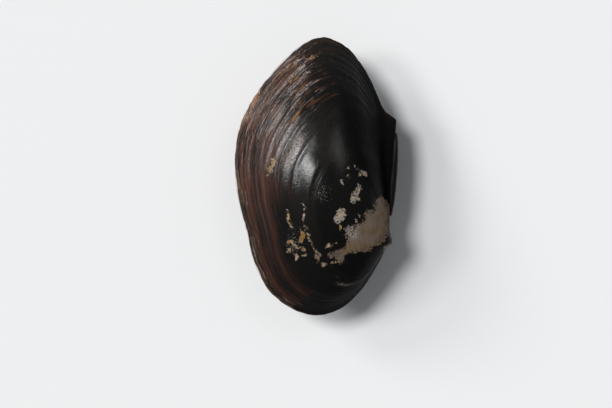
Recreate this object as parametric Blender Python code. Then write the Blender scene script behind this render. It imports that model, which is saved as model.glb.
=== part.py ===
"""A closed freshwater mussel shell: two hollow valves and the ligament that joins them.

Shell frame, used for all the shapes: the beaks are at the origin, +Y runs along the hinge line towards the
pointed posterior end, +X is dorsal, and Z = 0 is the plane where the valves meet. A valve grows by adding to
its margin, so each growth ring is the final margin scaled about the beak. It also turns about the hinge line
as it grows, so the early rings stand up and the umbo curls over to the beak. The closed pair lies in balance
on its left valve, with the origin at the middle of its base.
"""

import math

import bmesh
import bpy
import numpy as np
from mathutils import Matrix

MM = 0.001

# The right valve's margin, from the hinge's posterior end round the open side to its anterior end: X and Y,
# and how far the valve swells beyond its turned rings, along the growth ray that ends there. In millimetres.
MARGIN = (
    (0.0, 60.5, 0.0),
    (-2.5, 62.5, 0.3),
    (-6.0, 65.0, 0.8),
    (-10.0, 72.0, 3.5),
    (-14.5, 80.5, 6.5),
    (-21.0, 89.5, 9.5),
    (-27.0, 95.5, 12.0),
    (-34.0, 99.0, 14.5),
    (-41.0, 100.0, 16.5),
    (-49.5, 96.0, 18.0),
    (-59.5, 86.5, 19.0),
    (-70.5, 72.0, 19.0),
    (-78.0, 56.0, 18.0),
    (-80.5, 38.0, 16.5),
    (-78.5, 21.0, 15.0),
    (-72.5, 1.0, 13.5),
    (-66.5, -17.0, 11.5),
    (-57.5, -30.5, 9.5),
    (-45.5, -38.5, 8.0),
    (-33.0, -40.5, 6.5),
    (-22.0, -36.5, 5.0),
    (-12.5, -27.0, 3.5),
    (-6.0, -16.0, 1.5),
    (-2.5, -8.5, 0.0),
)
STEPS_PER_SPAN = 2  # columns of faces between two points of the margin
RING_CURL = 0.52  # radians that a ring turns up about the hinge line, for each e-fold that it is smaller
FULLNESS = 4.0  # how long a growth ray stays high before it falls to the margin
SWELL_RISE = 0.42  # share of a ray over which the swell comes in

BEAK_HEIGHT = 2.5  # of the beak above the commissure
BEAK_LEAN = (1.6, -1.0)  # how far the beak hooks past the hinge line, and forwards
BEAK_REACH = 7.0  # distance over which both fade out
HINGE_EDGE = 0.8  # thickness of the shell's edge beside the beak, thinning to the hinge's end

# Growth rests: the share of the way from beak to margin, and the height of the ledge left there.
LEDGES = (
    (0.30, 0.25),
    (0.41, 0.25),
    (0.52, 0.60),
    (0.60, 0.40),
    (0.68, 0.50),
    (0.76, 0.45),
    (0.83, 0.50),
    (0.89, 0.45),
    (0.945, 0.40),
)
LEDGE_BACK = 0.035  # length of a ledge's slow rise, as a share of the ray
LEDGE_DROP = 0.010  # and of its sharp fall
LEDGE_FULL_SWELL = 6.0  # the ledges fade out on the flat wing, where the valve swells less than this

WALL_MIDDLE = 2.3
WALL_MARGIN = 1.5
HINGE_PLATE = 1.6  # extra thickness under the beak and along the hinge
HINGE_PLATE_REACH = 9.0  # distance from the hinge line over which it fades
CAVITY_CENTRE = (-34.0, 24.0)  # middle of the hollow, from which its grid of faces fans out
CAVITY_RINGS = (0.25, 0.48, 0.68, 0.83, 0.94)
HINGE_STATIONS = (0.12, 0.24, 0.38, 0.54, 0.70, 0.86)  # points on the straight hinge, as shares of its length
HALF_GAP = 0.15  # each valve stops this far from the plane where they meet
SEARCH_STEPS = 24  # halvings of a range that close in on a place

LIGAMENT_START = 12.0
LIGAMENT_END = 54.0
LIGAMENT_HALF_WIDTH = 2.3
LIGAMENT_BULGE = 2.2
LIGAMENT_CLEARANCE = 0.3
LIGAMENT_RINGS = 15
LIGAMENT_SIDES = 8

REST_FLAT_DEPTH = 0.45  # worn off the lowest point of the left valve

PERIOSTRACUM = (0.030, 0.026, 0.024)
LIGAMENT_BROWN = (0.035, 0.024, 0.018)


def clear_scene():
    for obj in list(bpy.data.objects):
        bpy.data.objects.remove(obj, do_unlink=True)


def material(name, colour, roughness):
    made = bpy.data.materials.new(name)
    made.use_nodes = True
    shader = made.node_tree.nodes["Principled BSDF"]
    shader.inputs["Base Color"].default_value = (*colour, 1.0)
    shader.inputs["Roughness"].default_value = roughness
    shader.inputs["Metallic"].default_value = 0.0
    return made


def margin_curve():
    """The margin as a smooth curve: Hermite spans whose tangents follow the spacing of the points."""
    points = np.array(MARGIN)
    along = np.concatenate([[0.0], np.cumsum(np.linalg.norm(np.diff(points[:, :2], axis=0), axis=1))])
    slopes = np.gradient(points, along, axis=0)
    curve = []
    for i in range(len(points) - 1):
        length = along[i + 1] - along[i]
        for step in range(STEPS_PER_SPAN):
            f = step / STEPS_PER_SPAN
            curve.append(
                (1 + 2 * f) * (1 - f) ** 2 * points[i]
                + f * (1 - f) ** 2 * length * slopes[i]
                + f * f * (3 - 2 * f) * points[i + 1]
                + f * f * (f - 1) * length * slopes[i + 1]
            )
    curve.append(points[-1])
    return np.array(curve)


CURVE = margin_curve()
CURVE_ANGLES = np.arctan2(CURVE[:, 1], CURVE[:, 0]) % (2 * math.pi)
CURVE_RADII = np.hypot(CURVE[:, 0], CURVE[:, 1])


def ledge_height(share):
    """Height that the growth ledges add at this share of the way from beak to margin."""
    total = 0.0
    for at, height in LEDGES:
        if share <= at:
            total += height * math.exp(-(at - share) / LEDGE_BACK)
        elif share < at + LEDGE_DROP:
            total += height * (1 - (share - at) / LEDGE_DROP)
    return total


def beak_fade(radius, share):
    """1 at the beak, falling to nothing along the growth ray of this radius."""
    return math.exp(-((radius * share / BEAK_REACH) ** 2)) * (1 - share)


def ring_turn(share):
    """Angle by which the growth ring at this share stands up about the hinge line."""
    return RING_CURL * math.log(1 / share) if share > 0 else 0.0


def outer_rise(reach, swell, radius, share):
    """Height of the smooth valve at this share of a growth ray, which reaches this far from the hinge line."""
    turned = reach * share * math.sin(ring_turn(share))
    swollen = swell * (1 - share**FULLNESS) * (1 - math.exp(-share / SWELL_RISE))
    return turned + swollen + BEAK_HEIGHT * beak_fade(radius, share) + HINGE_EDGE * (1 - share)


def outer_point(column, share):
    x, y, swell = CURVE[column]
    radius = CURVE_RADII[column]
    lean = beak_fade(radius, share)
    ledge = ledge_height(share) * min(1.0, swell / LEDGE_FULL_SWELL)
    height = HALF_GAP + outer_rise(-x, swell, radius, share) + ledge
    across = x * share * math.cos(ring_turn(share))
    return (across + BEAK_LEAN[0] * lean, y * share + BEAK_LEAN[1] * lean, height)


def ring_over(x, y):
    """The share of the growth ring that passes over a point, and the angle of its ray in the final margin."""
    low, high = math.exp(-math.pi / 2 / RING_CURL), 1.0
    for _ in range(SEARCH_STEPS):
        share = (low + high) / 2
        unturned = x / math.cos(ring_turn(share))
        angle = math.atan2(y, unturned) % (2 * math.pi)
        if math.hypot(unturned, y) > share * np.interp(angle, CURVE_ANGLES, CURVE_RADII):
            low = share
        else:
            high = share
    return high, angle


def outer_height(x, y):
    """Height of the smooth valve over a point of the commissure plane; below zero outside the margin."""
    share, angle = ring_over(x, y)
    if not CURVE_ANGLES[0] < angle < CURVE_ANGLES[-1] or share == 1.0:
        return -1.0
    radius = np.interp(angle, CURVE_ANGLES, CURVE_RADII)
    swell = np.interp(angle, CURVE_ANGLES, CURVE[:, 2])
    return HALF_GAP + outer_rise(-radius * math.cos(angle), swell, radius, share)


def cavity_height(x, y):
    """Height of the hollow over a point: the valve less its wall, measured square to the surface."""
    step = 0.5
    height = outer_height(x, y)
    if height < 0:
        return -1.0
    slope_x = (outer_height(x + step, y) - outer_height(x - step, y)) / (2 * step)
    slope_y = (outer_height(x, y + step) - outer_height(x, y - step)) / (2 * step)
    wall = WALL_MARGIN + (WALL_MIDDLE - WALL_MARGIN) * (1 - ring_over(x, y)[0] ** 4)
    wall += HINGE_PLATE * math.exp(-((x / HINGE_PLATE_REACH) ** 2))
    return height - wall * math.sqrt(1 + slope_x**2 + slope_y**2)


def cavity_edge(towards):
    """Where the hollow meets the rim, on the line from its centre to a point of the valve's base outline."""
    centre = np.array(CAVITY_CENTRE)
    inside, outside = 0.3, 1.0
    for _ in range(SEARCH_STEPS):
        middle = (inside + outside) / 2
        x, y = centre + middle * (np.array(towards) - centre)
        if cavity_height(x, y) > HALF_GAP:
            inside = middle
        else:
            outside = middle
    return centre + inside * (np.array(towards) - centre)


def ring_shares():
    """Shares at which the outer rings lie: close together at each ledge, even between them."""
    shares = {0.03, 0.07, 0.12, 0.18, 0.24, 0.36, 0.465, 0.565, 0.975, 1.0}
    for at, _ in LEDGES:
        shares |= {at, at + LEDGE_DROP}
    return sorted(shares)


def outer_rings(mesh, shares):
    """The outside of the valve as rings of vertices about the beak, joined by faces."""
    beak = mesh.verts.new(outer_point(0, 0.0))
    rings = [[mesh.verts.new(outer_point(column, share)) for column in range(len(CURVE))] for share in shares]
    for a, b in zip(rings[0], rings[0][1:]):
        mesh.faces.new((beak, a, b))
    for inner, outer in zip(rings, rings[1:]):
        for i in range(len(inner) - 1):
            mesh.faces.new((inner[i], outer[i], outer[i + 1], inner[i + 1]))
    return beak, rings


def hinge_wall(mesh, beak, rings, shares):
    """The narrow wall between the hinge edge and the commissure. Returns the base outline of the valve."""
    margin = rings[-1]
    under_beak = mesh.verts.new((0.0, 0.0, HALF_GAP))
    stations = [mesh.verts.new((0.0, MARGIN[0][1] * share, HALF_GAP)) for share in HINGE_STATIONS]
    posts = [under_beak, *stations, margin[0]]
    ends = [0.0, *HINGE_STATIONS, 1.0]
    for i in range(len(posts) - 1):
        between = [k for k, share in enumerate(shares) if ends[i] < share <= ends[i + 1]]
        edge = [rings[k][0] for k in between]
        before = beak if i == 0 else rings[between[0] - 1][0]
        face = [posts[i], posts[i + 1], *reversed(edge), before]
        mesh.faces.new(list(dict.fromkeys(face)))
    anterior = [ring[-1] for ring in rings]
    mesh.faces.new([under_beak, beak, *anterior])
    return [*margin, under_beak, *stations]


def cavity(mesh, base):
    """The rim and the hollow behind it, in rings that shrink to the middle of the valve."""
    centre = np.array(CAVITY_CENTRE)
    edges = [cavity_edge(vert.co.xy) for vert in base]
    rim = [mesh.verts.new((*edge, HALF_GAP)) for edge in edges]
    rings = [rim]
    for share in reversed(CAVITY_RINGS):
        places = [centre + share * (edge - centre) for edge in edges]
        rings.append([mesh.verts.new((x, y, cavity_height(x, y))) for x, y in places])
    top = mesh.verts.new((*centre, cavity_height(*centre)))
    for outer, inner in zip([base, *rings], rings):
        for i in range(len(outer)):
            j = (i + 1) % len(outer)
            mesh.faces.new((outer[i], inner[i], inner[j], outer[j]))
    for i in range(len(base)):
        mesh.faces.new((rings[-1][i], top, rings[-1][(i + 1) % len(base)]))


def valve_mesh():
    """One closed solid: the right valve, in millimetres in the shell frame."""
    mesh = bmesh.new()
    shares = ring_shares()
    beak, rings = outer_rings(mesh, shares)
    base = hinge_wall(mesh, beak, rings, shares)
    cavity(mesh, base)
    bmesh.ops.triangulate(mesh, faces=[face for face in mesh.faces if len(face.verts) > 4])
    bmesh.ops.recalc_face_normals(mesh, faces=mesh.faces)
    return mesh


def flatten_rest(mesh):
    """Cuts a small flat where the valve touches the ground."""
    lowest = min(vert.co.z for vert in mesh.verts)
    cut = bmesh.ops.bisect_plane(
        mesh,
        geom=[*mesh.verts, *mesh.edges, *mesh.faces],
        plane_co=(0.0, 0.0, lowest + REST_FLAT_DEPTH),
        plane_no=(0.0, 0.0, 1.0),
        clear_inner=True,
    )
    edges = [part for part in cut["geom_cut"] if isinstance(part, bmesh.types.BMEdge)]
    bmesh.ops.contextual_create(mesh, geom=edges)
    bmesh.ops.recalc_face_normals(mesh, faces=mesh.faces)


def ligament_mesh():
    """A long bulging band over the hinge line, flat where it lies against the valves."""
    mesh = bmesh.new()
    rings = []
    for i in range(1, LIGAMENT_RINGS):
        along = i / LIGAMENT_RINGS
        y = LIGAMENT_START + (LIGAMENT_END - LIGAMENT_START) * along
        size = math.sin(math.pi * along) ** 0.45
        ring = []
        for side in range(LIGAMENT_SIDES + 1):
            turn = math.pi * (side / LIGAMENT_SIDES - 0.5)
            x = LIGAMENT_CLEARANCE + LIGAMENT_BULGE * size * math.cos(turn)
            ring.append(mesh.verts.new((x, y, LIGAMENT_HALF_WIDTH * size * math.sin(turn))))
        rings.append(ring)
    for first, second in zip(rings, rings[1:]):
        for i in range(len(first)):
            j = (i + 1) % len(first)
            mesh.faces.new((first[i], first[j], second[j], second[i]))
    for ring, y in ((rings[0], LIGAMENT_START), (rings[-1], LIGAMENT_END)):
        tip = mesh.verts.new((LIGAMENT_CLEARANCE, y, 0.0))
        for i in range(len(ring)):
            mesh.faces.new((ring[i], ring[(i + 1) % len(ring)], tip))
    bmesh.ops.recalc_face_normals(mesh, faces=mesh.faces)
    return mesh


def add_object(name, mesh, parent, finish):
    bmesh.ops.scale(mesh, vec=(MM, MM, MM), verts=mesh.verts)
    data = bpy.data.meshes.new(name)
    mesh.to_mesh(data)
    mesh.free()
    data.shade_smooth()
    data.set_sharp_from_angle(angle=math.radians(50))
    data.materials.append(finish)
    obj = bpy.data.objects.new(name, data)
    obj.parent = parent
    bpy.context.scene.collection.objects.link(obj)
    return obj


def stand_on_base(pair, parts):
    """Moves the pair so that the origin is at the middle of the bottom of its box."""
    places = np.array([vert.co for part in parts for vert in part.data.vertices])
    low, high = places.min(axis=0), places.max(axis=0)
    pair.location = (-(low[0] + high[0]) / 2, -(low[1] + high[1]) / 2, -low[2])


def main():
    clear_scene()
    pair = bpy.data.objects.new("closed_pair", None)
    bpy.context.scene.collection.objects.link(pair)
    dark = material("periostracum", PERIOSTRACUM, 0.35)
    brown = material("ligament_brown", LIGAMENT_BROWN, 0.45)

    left = valve_mesh()
    bmesh.ops.transform(left, matrix=Matrix.Scale(-1.0, 4, (0, 0, 1)), verts=left.verts)
    bmesh.ops.recalc_face_normals(left, faces=left.faces)
    flatten_rest(left)
    parts = [
        add_object("right_valve", valve_mesh(), pair, dark),
        add_object("left_valve", left, pair, dark),
        add_object("ligament", ligament_mesh(), pair, brown),
    ]
    stand_on_base(pair, parts)


main()
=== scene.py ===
"""Looks of the closed freshwater mussel shell: valves with growth lines and worn spots, and the ligament.

Shapes are made in the shell frame, in millimetres: the beaks are at the origin, +Y runs along the hinge line
towards the pointed posterior end, +X is dorsal, and Z = 0 is the plane where the valves meet. They are then
moved to where the frame's ligament lies.
"""

import math

import bpy
import numpy as np
from mathutils import Matrix, Vector


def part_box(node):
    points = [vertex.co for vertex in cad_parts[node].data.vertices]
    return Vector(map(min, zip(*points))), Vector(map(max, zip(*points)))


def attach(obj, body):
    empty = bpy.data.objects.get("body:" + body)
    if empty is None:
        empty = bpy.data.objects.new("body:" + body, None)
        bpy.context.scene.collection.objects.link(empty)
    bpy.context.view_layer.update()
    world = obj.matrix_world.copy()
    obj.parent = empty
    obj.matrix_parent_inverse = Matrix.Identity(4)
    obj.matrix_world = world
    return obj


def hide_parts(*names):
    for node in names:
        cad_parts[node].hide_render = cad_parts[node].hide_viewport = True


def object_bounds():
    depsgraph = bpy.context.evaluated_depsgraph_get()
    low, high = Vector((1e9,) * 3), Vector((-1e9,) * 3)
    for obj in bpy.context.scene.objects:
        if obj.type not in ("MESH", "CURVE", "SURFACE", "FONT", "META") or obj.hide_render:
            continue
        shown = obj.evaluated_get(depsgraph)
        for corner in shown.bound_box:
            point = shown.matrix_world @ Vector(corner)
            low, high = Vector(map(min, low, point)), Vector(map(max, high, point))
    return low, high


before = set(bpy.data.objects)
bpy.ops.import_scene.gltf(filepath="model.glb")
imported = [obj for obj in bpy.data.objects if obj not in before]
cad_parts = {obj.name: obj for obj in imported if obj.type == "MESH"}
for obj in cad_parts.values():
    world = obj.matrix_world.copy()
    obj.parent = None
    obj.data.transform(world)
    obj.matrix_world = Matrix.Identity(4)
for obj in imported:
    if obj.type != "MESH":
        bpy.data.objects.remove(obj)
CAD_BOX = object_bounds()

MM = 0.001

# The margin and the growth of a valve, as in the solids: X, Y and how far the valve swells beyond its turned
# rings, along the growth ray that ends there.
MARGIN = (
    (0.0, 60.5, 0.0),
    (-2.5, 62.5, 0.3),
    (-6.0, 65.0, 0.8),
    (-10.0, 72.0, 3.5),
    (-14.5, 80.5, 6.5),
    (-21.0, 89.5, 9.5),
    (-27.0, 95.5, 12.0),
    (-34.0, 99.0, 14.5),
    (-41.0, 100.0, 16.5),
    (-49.5, 96.0, 18.0),
    (-59.5, 86.5, 19.0),
    (-70.5, 72.0, 19.0),
    (-78.0, 56.0, 18.0),
    (-80.5, 38.0, 16.5),
    (-78.5, 21.0, 15.0),
    (-72.5, 1.0, 13.5),
    (-66.5, -17.0, 11.5),
    (-57.5, -30.5, 9.5),
    (-45.5, -38.5, 8.0),
    (-33.0, -40.5, 6.5),
    (-22.0, -36.5, 5.0),
    (-12.5, -27.0, 3.5),
    (-6.0, -16.0, 1.5),
    (-2.5, -8.5, 0.0),
)
RING_CURL = 0.52
FULLNESS = 4.0
SWELL_RISE = 0.42
BEAK_HEIGHT = 2.5
BEAK_LEAN = (1.6, -1.0)
BEAK_REACH = 7.0
HINGE_EDGE = 0.8

WALL_MIDDLE = 2.3
WALL_MARGIN = 1.5
HINGE_PLATE = 1.6
HINGE_PLATE_REACH = 9.0
CAVITY_CENTRE = (-34.0, 24.0)
CAVITY_RINGS = (0.25, 0.48, 0.68, 0.83, 0.94)
SEARCH_STEPS = 24

LIGAMENT_START = 12.0
LIGAMENT_END = 54.0
LIGAMENT_HALF_WIDTH = 2.3
LIGAMENT_BULGE = 2.2
LIGAMENT_CLEARANCE = 0.3

# The mesh and the relief of the valves, which are finer than those of the solids.
SEED = 41
COLUMNS = 310
EVEN_RINGS = 170
FIRST_RING = 0.012
GROOVE_SIDE = 0.004  # extra rings lie this far to each side of a groove
RING_SPACING = 0.0022  # rings closer together than this are left out
SHARP_ANGLE = 50  # degrees
HALF_GAP = 0.06  # the valves close tighter than the solids do
# Rounded growth bands with grooves between them, in place of the solids' ledges: outer side, as a share of
# the way from beak to margin, height, lean (higher on the inner side where negative), share of each slope.
BANDS = (
    (0.12, 0.08, 0.0, 0.3),
    (0.21, 0.12, 0.0, 0.3),
    (0.30, 0.08, 0.0, 0.3),
    (0.41, 0.08, 0.0, 0.3),
    (0.504, 0.00, 0.0, 0.3),
    (0.617, 0.50, -0.7, 0.17),
    (0.695, 0.55, -0.1, 0.28),
    (0.767, 0.55, 0.0, 0.40),
    (0.808, 0.34, 0.0, 0.45),
    (0.852, 0.42, 0.0, 0.45),
    (0.887, 0.34, 0.0, 0.45),
    (0.925, 0.38, 0.0, 0.45),
    (0.962, 0.34, 0.0, 0.45),
    (1.0, 0.36, 0.0, 0.45),
)
FOLDS = 18  # smaller bands inside the main ones, closer together near the margin
FOLDS_FIRST = 0.62
FOLD_HEIGHT = (0.05, 0.18)
FOLD_SIDE = 0.4
FINE_LINES = 46
FINE_FIRST = 0.12
FINE_LAST = 0.98
FINE_HEIGHT = (0.02, 0.10)
FINE_BACK = (0.006, 0.016)
FINE_DROP = 0.004
ROLL_HEIGHT = 0.05  # slow unevenness along the rings
DENT_HEIGHT = 0.03  # unevenness in all directions
FLAKE_HEIGHT = 0.20  # ragged layers near the ventral and posterior margin
FLAKE_STEP = 1.7
# Where the outer layers have broken off, and where the step has faded out, as distances along the margin.
BREAKS = ((81, 107), (224, 198))
BREAK_STEP = 0.22
BREAK_JAGS = 2.2
LINES_SINK = 0.30  # the relief starts this far below the smooth valve, to stay inside the CAD box
# How strong the growth lines are, and how much the coat shines, at these distances along the margin.
LINES_ALONG = (
    (0, 0.30, 0.03),
    (30, 0.22, 0.06),
    (48, 0.20, 0.20),
    (65, 0.16, 0.30),
    (80, 0.20, 0.36),
    (90, 0.55, 0.36),
    (98, 0.95, 0.36),
    (138, 1.00, 0.36),
    (156, 0.50, 0.26),
    (180, 0.20, 0.18),
    (225, 0.14, 0.12),
    (250, 0.20, 0.08),
    (285, 0.20, 0.03),
)
ROUNDING = 12  # columns of the mesh, to each side, over which that table's corners are rounded
THIN = (0.3, 2.6)  # height of the valve over which its relief comes in
RELIEF_RINGS = (0.0, 0.08)  # and the rings over which it does

# Zones run from where they start to where they are full: rings as shares, runs as distances along the margin.
INNER_FADE = 0.85  # how much lower the relief of the inner bands is on the posterior side
INNER_FADE_RINGS = (0.68, 0.61)
INNER_FADE_RUN = (114, 96)
ALL_RUNS = (-2, -1)
# Where the coat is duller: by how much, and the rings and runs of each zone of it.
DULL = (
    (0.80, [((0.85, 0.55), (84, 62))]),  # the steep dorsal flank
    (0.55, [((0.51, 0.46), (82, 100)), ((0.45, 0.38), ALL_RUNS)]),  # inside the middle bands
    (0.15, [((0.60, 0.70), ALL_RUNS)]),  # the outer bands
    (0.60, [((0.80, 0.90), (108, 130))]),  # near the margin, from the belly to the anterior end
)
MARGIN_CHIPS = 0.008  # deepest chip of the margin, as a share of the ray
GROWTH_MM = 88.0  # length of a long growth ray, which scales the growth coordinate

# Worn places, where the chalky shell shows through the dark coat. All are in plan, in millimetres.
WEAR_DEPTH = 0.30
WEAR_EDGE = 0.5
UNWORN = -9.0
WEAR_WARPS = ((4.0, 0.9), (1.6, 0.8))  # size and reach of the raggedness of their edges
CHALK, TAN, OCHRE, CREAM = 0.0, 1.0, 2.0, 3.0  # tones

# The worn beak of the right valve, from its posterior tip round the beak and along the belly side.
RIGHT_PATCH = (
    (-6.8, 20.0),
    (-4.5, 21.8),
    (-1.5, 19.5),
    (3.0, 9.0),
    (1.0, 4.5),
    (-1.6, 0.0),
    (-3.9, -2.4),
    (-7.6, -5.4),
    (-13.4, -6.9),
    (-16.5, -6.5),
    (-19.5, -9.0),
    (-21.0, -12.0),
    (-25.8, -11.0),
    (-30.0, -8.0),
    (-25.5, -5.8),
    (-21.5, -4.0),
    (-20.0, -0.5),
    (-21.0, 4.5),
    (-17.5, 6.3),
    (-12.0, 8.5),
    (-10.8, 14.6),
    (-7.4, 14.2),
)
# Smaller worn spots: X, Y, half length, half width, turn in degrees, tone.
RIGHT_SPOTS = (
    (-24.0, 10.5, 3.4, 2.4, 60, CHALK),
    (-23.5, 6.0, 0.9, 0.8, 0, OCHRE),
    (-17.0, 19.8, 2.9, 1.9, 66, CHALK),
    (-15.9, 23.6, 1.9, 0.8, 95, CHALK),
    (-14.4, 32.2, 1.5, 1.4, 40, CHALK),
    (-21.5, 34.0, 0.5, 0.4, 0, CHALK),
    (-18.0, 34.5, 0.5, 0.4, 0, CHALK),
    (-20.8, 30.7, 0.4, 0.4, 0, CHALK),
    (-23.8, 27.0, 0.8, 0.2, 80, CHALK),
    (-16.4, 8.2, 0.8, 0.6, 20, CHALK),
    (-13.8, 11.0, 0.7, 0.5, 20, CHALK),
    (0.3, -3.4, 2.6, 0.8, 45, CHALK),
    (-59.5, 32.5, 4.6, 1.4, 76, CREAM),
    (-52.7, 39.8, 2.8, 0.9, 72, TAN),
    (-49.8, 11.6, 0.7, 0.5, 0, CHALK),
    (-48.9, 8.2, 1.9, 0.9, 105, OCHRE),
    (-47.8, 4.4, 0.9, 0.6, 100, CREAM),
    (-42.0, -0.5, 2.3, 1.4, 100, OCHRE),
    (-47.7, -4.2, 1.7, 1.1, 30, OCHRE),
    (-44.3, -6.0, 1.6, 1.0, 150, CREAM),
    (-47.3, -8.2, 1.5, 1.0, 20, CREAM),
    (-41.0, -7.0, 1.1, 0.9, 0, CREAM),
    (-44.8, -11.7, 1.6, 1.0, 100, CREAM),
    (-40.9, -10.8, 1.3, 1.0, 60, CREAM),
    (-41.4, 9.4, 2.9, 0.3, 96, CHALK),
    (-37.5, -2.5, 4.2, 0.35, 112, CREAM),
    (-33.8, -10.0, 2.4, 1.0, 120, TAN),
    (-28.2, -3.8, 1.6, 0.5, 25, CREAM),
    (-29.5, -14.3, 1.4, 0.9, 0, CREAM),
    (-23.8, -13.2, 2.2, 0.7, 10, CREAM),
    (-46.0, 88.4, 1.6, 0.3, 28, OCHRE),
    (-51.8, 86.3, 1.1, 0.7, 35, CHALK),
    (-53.8, 78.6, 0.8, 0.6, 60, CHALK),
    (-53.0, 77.0, 1.0, 0.4, 60, OCHRE),
    (-49.3, 82.6, 1.6, 0.5, 40, CHALK),
    (-45.8, 80.6, 1.0, 0.3, 40, CHALK),
)
# Tints within the worn beak: X, Y, size, and how pale, or dull where negative; the dull ones are partly
# painted shade.
PATCH_TINTS_AND_SHADE = (
    (-17.5, 3.0, 4.5, 0.9),
    (-5.0, 19.5, 3.4, 0.5),
    (-9.5, 12.5, 2.4, -0.35),
    (-0.5, 9.0, 3.0, -0.55),
    (0.5, 3.0, 3.0, -0.6),
    (-25.0, -8.5, 5.0, -0.85),
    (-12.5, -5.5, 3.0, -0.25),
    (-1.5, 0.5, 3.5, -0.5),
)
# Streaks along the growth bands: share, half width, first and last distance along the margin, and strength.
# Positive ones are pale scuffs, partly worn crests and partly painted highlights on the ridges, and negative
# ones are rust, which turns golden below -1.
STREAKS = (
    (0.657, 0.024, 100, 128, 0.75),
    (0.681, 0.005, 92, 106, 0.9),
    (0.702, 0.003, 96, 110, 0.8),
    (0.760, 0.003, 96, 122, 0.9),
    (0.876, 0.003, 88, 122, 0.9),
    (0.921, 0.004, 92, 118, 0.9),
    (0.944, 0.003, 98, 122, 0.9),
    (0.967, 0.004, 84, 104, 1.0),
    (0.732, 0.010, 92, 126, 1.1),
    (0.787, 0.006, 84, 134, 1.1),
    (0.812, 0.004, 84, 110, 0.6),
    (0.835, 0.006, 76, 110, 1.2),
    (0.866, 0.007, 82, 108, 0.9),
    (0.905, 0.006, 74, 104, 0.9),
    (0.900, 0.008, 124, 148, 0.5),
    (0.992, 0.022, 102, 119, 1.6),
    (0.576, 0.020, 228, 243, 0.50),
    (0.525, 0.014, 221, 224, 0.30),
    (0.745, 0.009, 90, 101, -1.8),
    (0.962, 0.009, 80, 86, 1.4),
    (0.930, 0.012, 77, 88, -1.2),
    (0.902, 0.008, 76, 90, 1.8),
    (0.878, 0.012, 78, 86, -1.4),
    (0.855, 0.008, 75, 90, 1.8),
    (0.832, 0.011, 76, 86, -1.2),
    (0.808, 0.008, 74, 90, 1.6),
    (0.782, 0.008, 76, 84, -0.9),
    (0.725, 0.003, 66, 80, -0.8),
    (0.705, 0.003, 60, 78, -0.7),
    (0.760, 0.004, 58, 74, -0.3),
    (0.768, 0.005, 98, 130, -0.6),
    (0.820, 0.006, 88, 120, -0.8),
    (0.852, 0.005, 92, 124, -0.7),
    (0.884, 0.006, 84, 112, -0.7),
    (0.930, 0.010, 90, 116, -0.8),
    (0.955, 0.008, 70, 104, -0.8),
    (0.975, 0.008, 84, 108, -0.7),
    (0.960, 0.006, 118, 156, -0.6),
    (0.925, 0.006, 126, 160, -0.4),
    (0.945, 0.007, 72, 84, 1.0),
    (0.918, 0.006, 66, 80, 0.9),
    (0.890, 0.006, 68, 80, 0.6),
)
# Places with fine pale specks, painted glints: X, Y, half width, half length.
GLINT_FRECKLES = (
    (-34.0, 21.5, 5.0, 6.0),
    (-46.0, -4.0, 5.0, 7.0),
)
# The left valve is worn in the same way at its beak, with fewer spots.
LEFT_PATCH = (
    (-5.0, 17.0),
    (-2.0, 18.5),
    (3.0, 9.0),
    (4.0, -5.0),
    (-5.0, -6.0),
    (-12.0, -8.0),
    (-19.0, -7.0),
    (-24.0, -2.5),
    (-22.5, 3.0),
    (-16.0, 5.0),
    (-13.0, 10.0),
    (-8.5, 12.0),
)
LEFT_SPOTS = (
    (-27.5, 7.0, 2.6, 1.7, 70, CHALK),
    (-19.5, 16.0, 2.0, 1.3, 40, CHALK),
    (-36.0, -3.0, 3.2, 0.8, 112, TAN),
    (-43.5, 3.5, 2.4, 1.2, 98, OCHRE),
    (-47.0, -5.5, 1.6, 1.1, 60, OCHRE),
    (-55.0, 28.0, 3.0, 0.9, 80, TAN),
    (-30.0, 27.0, 1.0, 0.8, 0, CHALK),
)

# How brown each growth band is: share and amount.
BAND_BROWN = (
    (0.50, 0.3),
    (0.60, 0.5),
    (0.63, 0.9),
    (0.665, 0.5),
    (0.70, 0.9),
    (0.74, 0.4),
    (0.77, 1.0),
    (0.81, 1.0),
    (0.84, 0.60),
    (0.88, 0.55),
    (0.895, 1.1),
    (0.945, 1.1),
    (0.96, 0.6),
    (1.0, 0.8),
)

# How brown the coat is at the margin, and the share at which the brown begins, at these distances along it.
BROWN_COAT = (
    (0, 0.10, 0.85),
    (30, 0.10, 0.90),
    (60, 0.30, 0.82),
    (85, 0.65, 0.76),
    (115, 1.20, 0.64),
    (145, 1.35, 0.62),
    (170, 0.98, 0.68),
    (212, 0.88, 0.68),
    (223, 0.80, 0.66),
    (227, 0.20, 0.80),
    (285, 0.05, 0.90),
)

LIGAMENT_TUCK = 1.6  # how far the band's back reaches round the hinge edges
LIGAMENT_TUCK_TURN = 2.6
LIGAMENT_FIBRES = 0.14
LIGAMENT_TAPER = 0.45  # how bluntly the band narrows to its ends
LIGAMENT_GRID = (150, 61)  # places along it and round it


def beak_place():
    """Where the shell frame's origin lies in the row frame, in metres."""
    low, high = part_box("ligament")
    return Vector((low.x - LIGAMENT_CLEARANCE * MM, low.y - LIGAMENT_START * MM, (low.z + high.z) / 2))


BEAK = beak_place()


# Curves and noise


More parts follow.
